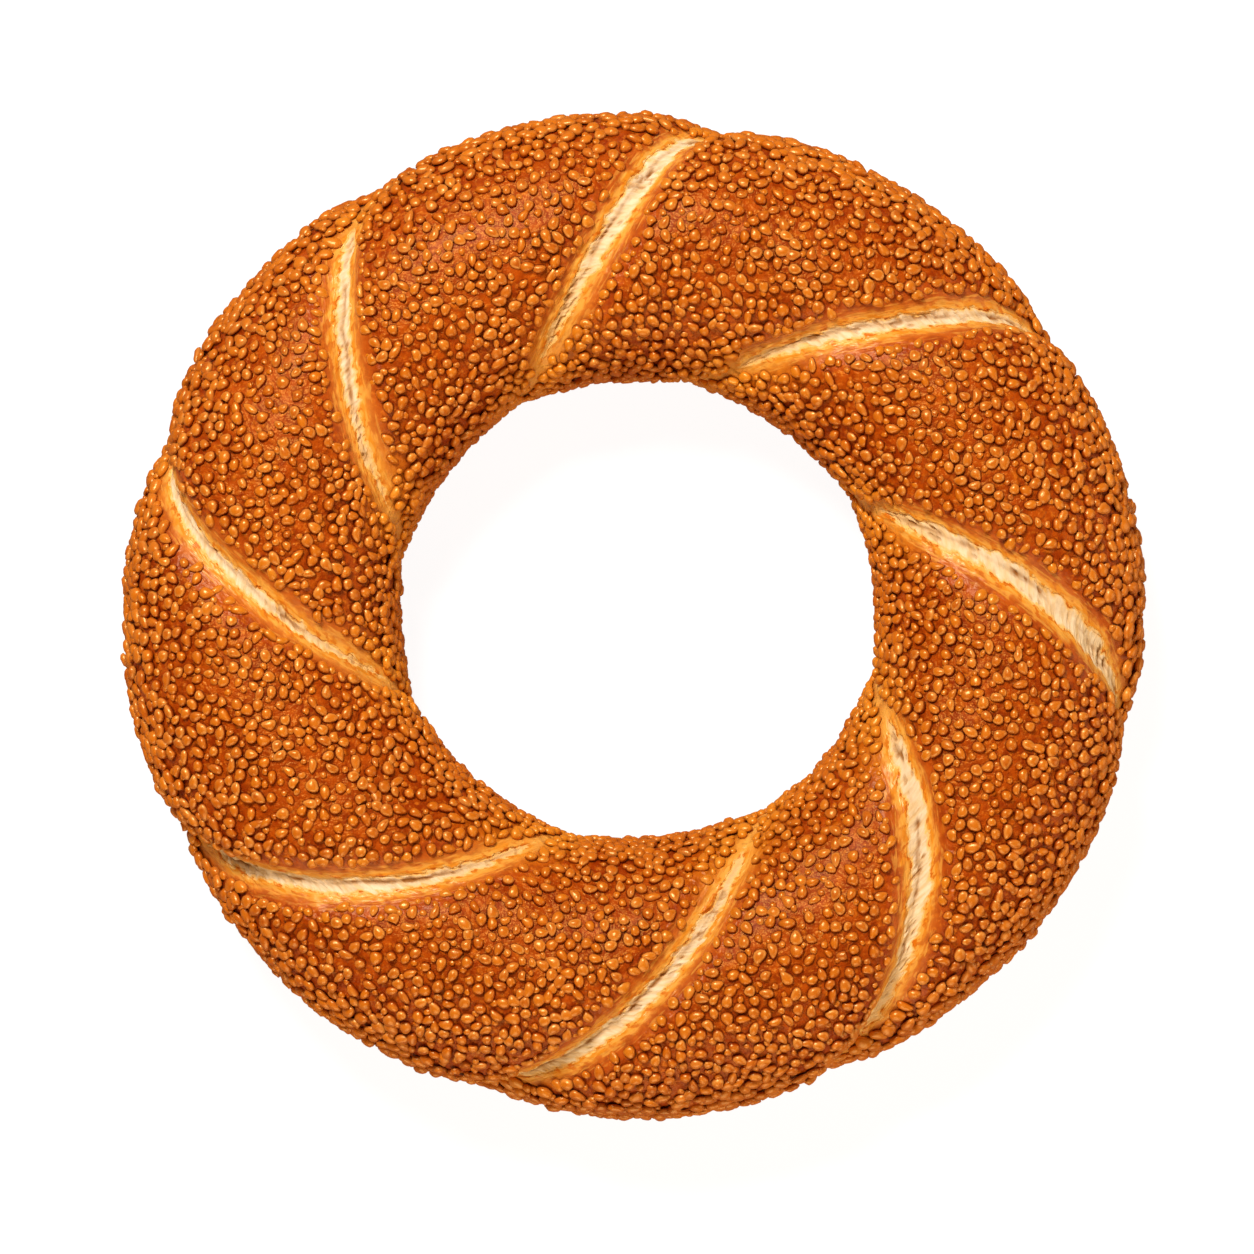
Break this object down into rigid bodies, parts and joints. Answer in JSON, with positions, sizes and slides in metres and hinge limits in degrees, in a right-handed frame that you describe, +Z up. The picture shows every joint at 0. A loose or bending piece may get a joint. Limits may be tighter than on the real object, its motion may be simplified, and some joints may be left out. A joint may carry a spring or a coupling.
{
  "type": "simit sesame bread ring",
  "caption": "Baked bread ring of twisted dough strands, covered with sesame seeds, with slanting splits that show pale crumb.",
  "frame": {"origin": "middle of the ring's box, at the base that it rests on", "axes": "+Z up through the ring's hole, +X and +Y across the ring, which lies flat"},
  "size_m": [0.1758, 0.1731, 0.0382],
  "materials": {
    "crust": "golden-brown baked crust with sesame seeds, slightly glossy"
  },
  "bodies": {
    "root": {"simit": "crust"}
  },
  "joints": []
}
